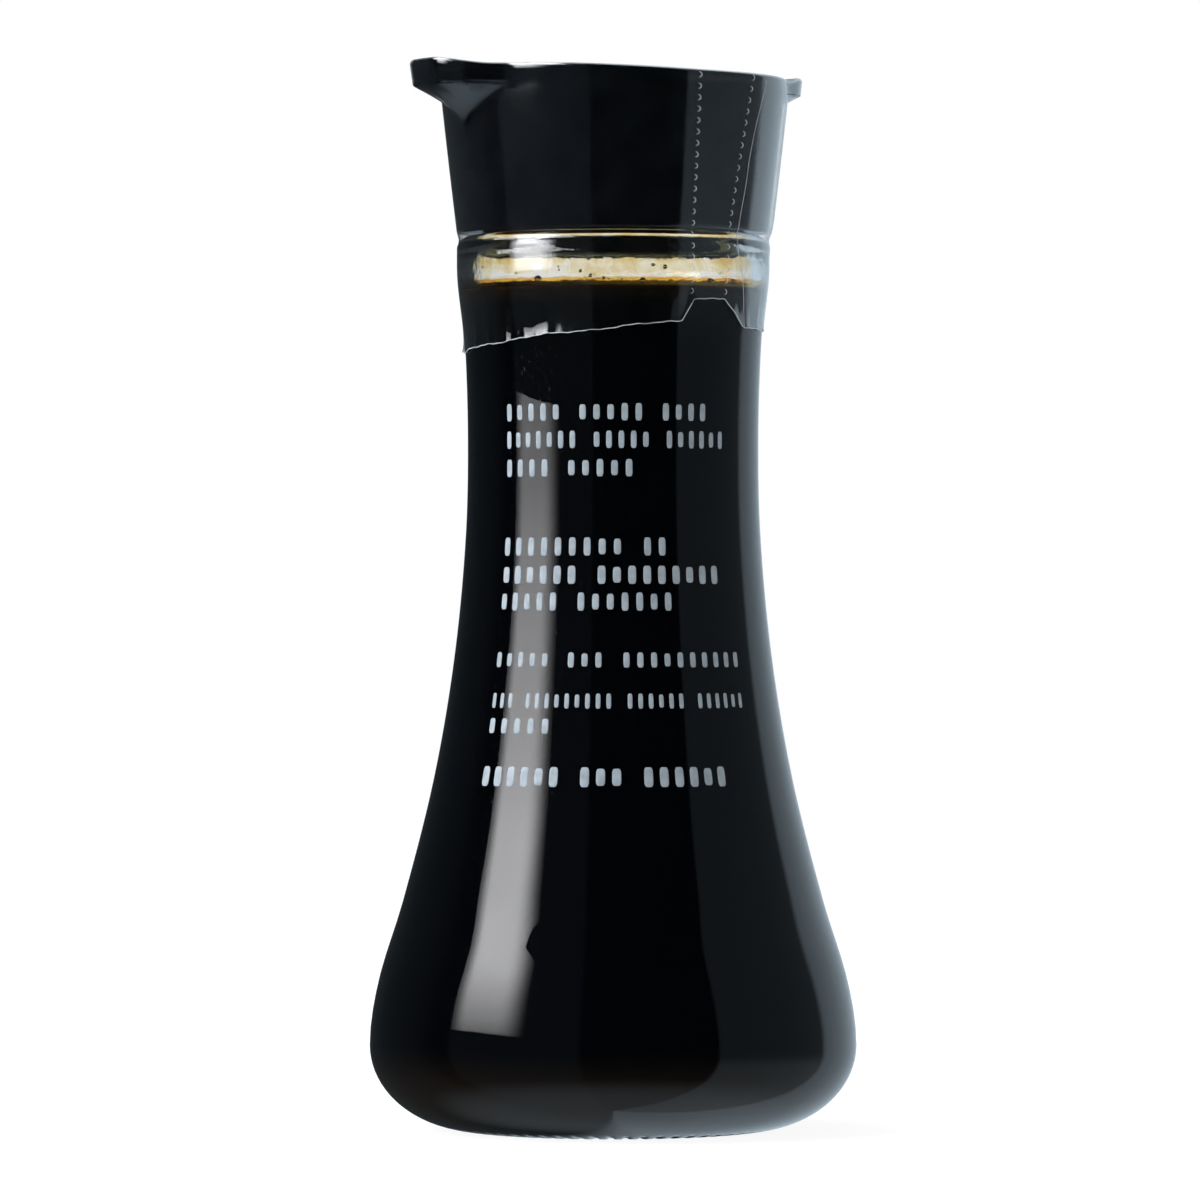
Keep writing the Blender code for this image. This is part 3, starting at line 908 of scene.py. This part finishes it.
class BOTTLE_OT_band(bpy.types.Operator):
    """Wraps the clear shrink band over the cap's rim, down its side and over the bead to a torn edge"""

    bl_idname = "bottle.band"
    bl_label = "Shrink band"

    def execute(self, context):
        values = settings().band
        angles = sleeve_angles()
        rim = rim_height(angles)
        low = edge_height(angles)
        hem = rim_height(angles, with_lips=False)
        top = rim - CAP_BEVEL
        share = np.linspace(0.0, 1.0, 72)[:, None]
        height = low + (top - low) * share
        radius = film_radius(angles, height)
        # Crinkles: waves round the bottle, and the curl, both dying away over a few mm above the torn edge.
        above = height - low
        waves = ripple(angles, ((17, 0.05 * MM), (37, 0.06 * MM), (71, 0.03 * MM)), seed=2)
        torn = np.exp(-above / TEAR_FADE) * waves
        curl = np.exp(-above / CURL_FADE) * edge_curl(angles)
        radius = radius + np.maximum(torn, -TEAR_DENT) + curl
        rows = [self.layer(angles, radius, height, rim, hem, extra) for extra in (0.0, values.thickness)]
        points, faces = rounds(np.concatenate([rows[0], rows[1][::-1]]), tube=True)
        paint = film_material("clear_film", values.colour)
        band = finish_mesh("shrink_band_fine", points, faces, (paint,), sharp=60.0)
        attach(band, "root")
        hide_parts("shrink_band")
        self.marks(values, angles)
        return {"FINISHED"}

    def layer(self, angles, radius, height, rim, hem, extra):
        """One side of the film: up the cap's side, round the rim's corner and in over it to the hem."""
        turn = np.linspace(0.0, math.pi / 2, 7)[1:, None]
        corner = radius[-1] - CAP_BEVEL
        bend = CAP_BEVEL + extra
        over_radius = corner + bend * np.cos(turn)
        over_height = rim - CAP_BEVEL + (bend + settings().band.stand_off) * np.sin(turn)
        start = over_height[-1]
        share = np.linspace(0.0, 1.0, 9)[1:, None]
        in_radius = corner * (1 - share) + HEM_RADIUS * share
        in_height = start * (1 - share) + (hem + settings().band.stand_off + extra) * share
        return np.concatenate([
            round_points(angles, radius + extra, height),
            round_points(angles, over_radius, over_height),
            round_points(angles, in_radius, in_height),
        ])

    def marks(self, values, angles):
        """Perforations, the seam and the bright cut edge, each a thin raised line on the film whose pale
        colour is a painted highlight.
        """
        low, high = PERFORATION_SPAN
        heights = np.arange(low, high, values.pitch)
        share = ((heights - low) / (high - low)) ** 1.5
        # Each perforation is about half a ring, bulging to the right.
        bow = np.linspace(-1.5, 1.5, 11)
        size = PERFORATION_SIZE
        paths = []
        for foot, head in PERFORATIONS:
            middle = np.radians(foot + (head - foot) * share)
            around = middle[:, None] + 1.35 * size * (np.cos(bow) - 0.6) / CAP_HEAD_RADIUS
            paths.append(film_outside(around, heights[:, None] + size * np.sin(bow)))
        points, outward = (np.concatenate(part) for part in zip(*paths))
        # Painted highlight: a pale coat on the raised perforations, seam and cut edge stands in for the glint
        # they catch.
        mark = mark_material("film_marks_painted_highlight", (0.55, 0.60, 0.64))
        fade = PERFORATION_RADIUS * (1.0 - 0.5 * np.abs(bow) / bow.max())
        made = tubes(points, outward, fade)
        self.mark("band_perforations", made, mark)
        at, turns = np.array(SEAM).T
        heights = np.linspace(at[0], at[-1], 120)
        around = np.radians(np.interp(heights, at, turns) + 0.35 * np.sin(heights / (1.9 * MM)))
        points, outward = film_outside(around, heights)
        self.mark("band_seam", tubes(points[None], outward[None], SEAM_RADIUS), mark)
        low = edge_height(angles)
        points, outward = film_outside(angles, low + 0.02 * MM, edge_curl(angles))
        made = tubes(points[None], outward[None], CUT_EDGE_RADIUS, closed=True)
        self.mark("band_cut_edge", made, mark)

    def mark(self, name, made, material):
        piece = finish_mesh(name, *made, (material,))
        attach(piece, "root")


class BOTTLE_OT_print(bpy.types.Operator):
    """Prints rows of plain rounded blocks on the front of the glass"""

    bl_idname = "bottle.print"
    bl_label = "Printed rows"

    def execute(self, context):
        values = settings().printing
        middles, widths, heights, tall = [], [], [], []
        draw = np.random.default_rng(12)
        for height, size, right, runs, boldness in PRINT_ROWS:
            cells = sum(runs) + len(runs) - 1
            pitch = (right - PRINT_LEFT) / (cells - 1 + boldness)
            ends = np.cumsum(np.array(runs) + 1)
            cell = np.arange(cells)
            cell = cell[~np.isin(cell + 1, ends)]
            middles.append(PRINT_LEFT + pitch * (cell + boldness / 2))
            widths.append(np.full(len(cell), pitch * boldness))
            heights.append(np.full(len(cell), height))
            tall.append(size * draw.choice((0.86, 1.0, 1.0), len(cell)))
        sizes = (middles, widths, heights, tall)
        middle, width, height, tall = (np.concatenate(part)[:, None, None] for part in sizes)
        # A block's outline is the superellipse |x|^5 + |y|^5 = 1; its rings are (share of the outline, lift).
        turn = even_angles(20)
        corner = (np.abs(np.cos(turn)) ** 5 + np.abs(np.sin(turn)) ** 5) ** (-1 / 5)
        rings = ((0.0, -1.0), (1.0, -1.0), (1.0, 0.5), (0.94, 1.0), (0.5, 1.0), (0.0, 1.0))
        share, lift = np.array(rings).T[:, :, None]
        around = np.radians(middle + 0.5 * width * share * corner * np.cos(turn))
        up = height + 0.5 * tall * share * corner * np.sin(turn)
        radius = outline(up) + lift * values.height
        points = turned(around, radius, up)
        index = np.arange(points.size // 3).reshape(points.shape[:3])
        lower, upper = index[:, :-1], index[:, 1:]
        quads = np.stack([lower, np.roll(lower, -1, 2), np.roll(upper, -1, 2), upper], axis=-1)
        ink = mark_material("pale_ink", values.colour, 0.5)
        blocks = finish_mesh("printed_rows", points.reshape(-1, 3), quads.reshape(-1, 4), (ink,))
        weld(blocks)
        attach(blocks, "root")
        return {"FINISHED"}


def weld(obj):
    """Merges points that coincide, such as a closed pole's, and turns the faces outwards again."""
    shape = bmesh.new()
    shape.from_mesh(obj.data)
    bmesh.ops.remove_doubles(shape, verts=shape.verts, dist=1e-7)
    bmesh.ops.dissolve_degenerate(shape, edges=shape.edges, dist=1e-8)
    bmesh.ops.recalc_face_normals(shape, faces=shape.faces)
    shape.to_mesh(obj.data)
    shape.free()


# ---------------------------------------------------------------- stage


def glow_material(name, colour, strength):
    """A light panel's material: one Emission, of a plain strength or of what strength(paint) gives."""
    material = bpy.data.materials.new(name)
    material.use_nodes = True
    material.node_tree.nodes.clear()
    paint = Nodes(material.node_tree)
    emission = paint.new("Emission")
    paint.fill(emission.inputs["Color"], (*colour, 1.0))
    paint.fill(emission.inputs["Strength"], strength(paint) if callable(strength) else strength)
    paint.fill(paint.new("OutputMaterial").inputs["Surface"], emission.outputs["Emission"])
    return material


def sheet(name, corners, material):
    """A flat sheet with four corners."""
    mesh = bpy.data.meshes.new(name)
    mesh.from_pydata([tuple(corner) for corner in corners], [], [(0, 1, 2, 3)])
    mesh.materials.append(material)
    made = bpy.data.objects.new(name, mesh)
    bpy.context.scene.collection.objects.link(made)
    return made


def directions(degrees):
    """Outward along an angle round the bottle, and a quarter turn on from it."""
    turn = math.radians(degrees)
    return Vector((math.cos(turn), math.sin(turn), 0.0)), Vector((-math.sin(turn), math.cos(turn), 0.0))


class BOTTLE_OT_stage(bpy.types.Operator):
    """Lights the bottle on a plain pale floor and sets the camera"""

    bl_idname = "bottle.stage"
    bl_label = "Stage"

    def execute(self, context):
        values = settings().stage
        scene = context.scene
        scene.view_settings.view_transform = "Standard"
        toward, right = directions(FRONT)
        data = bpy.data.cameras.new("camera")
        data.lens = values.lens
        data.sensor_width = 36.0
        data.clip_start = 0.05
        data.clip_end = 20.0
        camera = bpy.data.objects.new("camera", data)
        camera.location = toward * values.distance - right * values.aside
        camera.location.z = values.camera_height
        camera.rotation_mode = "QUATERNION"
        camera.rotation_quaternion = (-toward).to_track_quat("-Z", "Y")
        scene.collection.objects.link(camera)
        scene.camera = camera
        self.floor()
        self.softbox(values)
        self.world(scene)
        return {"FINISHED"}

    def floor(self):
        """A pale floor that glows like a light table, so it stays white, with a faint contact shadow, and a
        painted shadow under the bottle that only rays through glass see.
        """
        size = 6.0
        corners = [(-size, -size, 0.0), (size, -size, 0.0), (size, size, 0.0), (-size, size, 0.0)]
        paint = Paint("pale_floor")
        paint.set(Base_Color=(0.16, 0.16, 0.16, 1.0), Roughness=1.0, Specular_IOR_Level=0.0)
        # Seen through the bottle, it glows less where the bottle stands on it: a painted shadow under the
        # bottle.
        distance = paint.new("VectorMath")
        distance.operation = "LENGTH"
        paint.fill(distance.inputs[0], paint.place)
        through = paint.ranged(distance.outputs["Value"], 16.0 * MM, 36.0 * MM, 0.45, 0.92, smooth=True)
        rays = paint.new("LightPath").outputs
        glow = paint.ranged(rays["Transmission Depth"], 0.0, 1.0, 0.92, through)
        paint.set(Emission_Color=(1.0, 1.0, 1.0, 1.0), Emission_Strength=glow)
        # Reflected rays, also those that leave through film or glass, pass it by and see the world instead.
        reflected = paint.maths("GREATER_THAN", rays["Glossy Depth"], 0.5)
        clear = paint.new("BsdfTransparent").outputs["BSDF"]
        either = paint.mixed(reflected, paint.shader.outputs["BSDF"], clear)
        paint.fill(paint.tree.nodes["Material Output"].inputs["Surface"], either)
        floor = sheet("floor", corners, paint.material)
        floor.visible_glossy = False

    def softbox(self, values):
        """A tall upright panel on the left, brighter higher up, and a wide one over the bottle's left side.

        The upright one's strength is its rise with Z times a smooth fade at each side.
        """
        out, aside = directions(178.0)
        foot, head, half = 0.086, 0.37, 0.215
        corners = [
            out * 0.60 + aside * side * half + Vector((0.0, 0.0, height))
            for side, height in ((-1, foot), (1, foot), (1, head), (-1, head))
        ]

        def shaded(paint):
            parts = paint.parts(paint.new("TexCoord").outputs["Object"])
            rise = paint.ranged(parts["Z"], foot, 0.30, 0.33 * values.softbox, 1.3 * values.softbox)
            near = paint.ranged(parts["Y"], -0.196, -0.03, 0.04, 1.0, smooth=True)
            far = paint.ranged(parts["Y"], 0.238, 0.14, 0.15, 1.0, smooth=True)
            return paint.maths("MULTIPLY", paint.maths("MULTIPLY", rise, near), far)

        self.panel("softbox", corners, shaded)
        near, right = directions(FRONT)
        places = ((-0.32, -0.95), (0.50, -0.95), (0.50, -0.30), (-0.32, -0.05))
        over = [near * along + right * across + Vector((0.0, 0.0, 0.60)) for along, across in places]
        self.panel("overhead_softbox", over, 1.05 * values.softbox)

    def panel(self, name, corners, strength):
        """A glowing panel that only lights and is reflected."""
        panel = sheet(name, corners, glow_material(name + "_cloth", (0.98, 0.98, 1.0), strength))
        panel.visible_camera = False
        panel.visible_shadow = False

    def world(self, scene):
        """White to the eye and through glass; to a gloss surface, dark with a few brighter sectors."""
        world = bpy.data.worlds.new("studio")
        scene.world = world
        world.use_nodes = True
        world.node_tree.nodes.clear()
        sky = Nodes(world.node_tree)
        maths = sky.maths
        parts = sky.parts(sky.new("TexCoord").outputs["Generated"])
        up = parts["Z"]

        def step(value, low, high, to_low=0.0, to_high=1.0):
            return sky.ranged(value, low, high, to_low, to_high, smooth=True)

        def sector(centre, half, soft, strength):
            """Its strength within half degrees of a direction round the bottle, with soft edges."""
            turn = math.radians(centre)
            across = maths("MULTIPLY", parts["X"], math.cos(turn))
            along = maths("ADD", across, maths("MULTIPLY", parts["Y"], math.sin(turn)))
            level = maths("SQRT", maths("SUBTRACT", 1.0, maths("MULTIPLY", up, up)))
            cosine = maths("DIVIDE", along, maths("MAXIMUM", level, 0.001))
            outer, inner = math.radians(half + soft / 2), math.radians(half - soft / 2)
            return maths("MULTIPLY", step(cosine, math.cos(outer), math.cos(inner)), strength)

        def either(choice, one, other):
            """one where choice is 1 and other where it is 0."""
            rest = maths("SUBTRACT", 1.0, choice)
            return maths("ADD", maths("MULTIPLY", choice, one), maths("MULTIPLY", rest, other))

        behind = sector(29.0, 31.0, 8.0, 0.75)
        right = sector(326.0, 35.0, 2.5, step(up, -0.3, -0.05, 0.36, 0.16))
        left = sector(190.0, 34.0, 3.0, 0.045)
        rear = sector(96.0, 42.0, 24.0, 0.030)
        low = maths("MULTIPLY", step(up, -0.95, -0.55, 1.0, 0.0), 0.40)
        dim = maths("ADD", maths("ADD", left, rear), maths("MAXIMUM", low, 0.012))
        gloss = maths("ADD", maths("MAXIMUM", behind, right), dim)
        through = maths("MULTIPLY", step(up, 0.35, 0.75, 1.0, 0.12), 0.98)
        rays = sky.new("LightPath").outputs
        seen = either(rays["Is Camera Ray"], 1.0, either(rays["Is Diffuse Ray"], 0.45, through))
        lights = []
        for colour, strength in (((1.0, 1.0, 1.0), seen), ((0.72, 0.88, 1.0), gloss)):
            background = sky.new("Background")
            sky.fill(background.inputs["Color"], (*colour, 1.0))
            sky.fill(background.inputs["Strength"], strength)
            lights.append(background.outputs["Background"])
        mixed = sky.mixed(maths("GREATER_THAN", rays["Glossy Depth"], 0.5), *lights)
        sky.fill(sky.new("OutputWorld").inputs["Surface"], mixed)


class BOTTLE_PT_panel(bpy.types.Panel):
    """Lists the bottle's sizes, colours and operators"""

    bl_label = "Soy sauce bottle"
    bl_idname = "BOTTLE_PT_panel"
    bl_space_type = "VIEW_3D"
    bl_region_type = "UI"
    bl_category = "Bottle"

    def draw(self, context):
        values = context.scene.bottle
        for group, operators in PANEL_ROWS:
            box = self.layout.box()
            chosen = getattr(values, group)
            for name in chosen.bl_rna.properties.keys():
                if name not in ("rna_type", "name"):
                    box.prop(chosen, name)
            for operator in operators:
                box.operator(operator.bl_idname)


PANEL_ROWS = (
    ("stage", (BOTTLE_OT_stage,)),
    ("glass", (BOTTLE_OT_glass,)),
    ("sauce", (BOTTLE_OT_sauce, BOTTLE_OT_bubbles)),
    ("cap", (BOTTLE_OT_cap,)),
    ("band", (BOTTLE_OT_band,)),
    ("printing", (BOTTLE_OT_print,)),
)
CLASSES = (
    GlassSettings,
    SauceSettings,
    CapSettings,
    BandSettings,
    PrintSettings,
    StageSettings,
    BottleSettings,
    BOTTLE_OT_stage,
    BOTTLE_OT_glass,
    BOTTLE_OT_sauce,
    BOTTLE_OT_bubbles,
    BOTTLE_OT_cap,
    BOTTLE_OT_band,
    BOTTLE_OT_print,
    BOTTLE_PT_panel,
)


def register():
    for kind in CLASSES:
        bpy.utils.register_class(kind)
    bpy.types.Scene.bottle = PointerProperty(type=BottleSettings)


def unregister():
    del bpy.types.Scene.bottle
    for kind in reversed(CLASSES):
        bpy.utils.unregister_class(kind)


def main():
    register()
    bpy.ops.bottle.stage()
    bpy.ops.bottle.glass()
    bpy.ops.bottle.sauce()
    bpy.ops.bottle.bubbles()
    bpy.ops.bottle.cap()
    bpy.ops.bottle.band()
    bpy.ops.bottle.print()


if __name__ == "__main__":
    main()
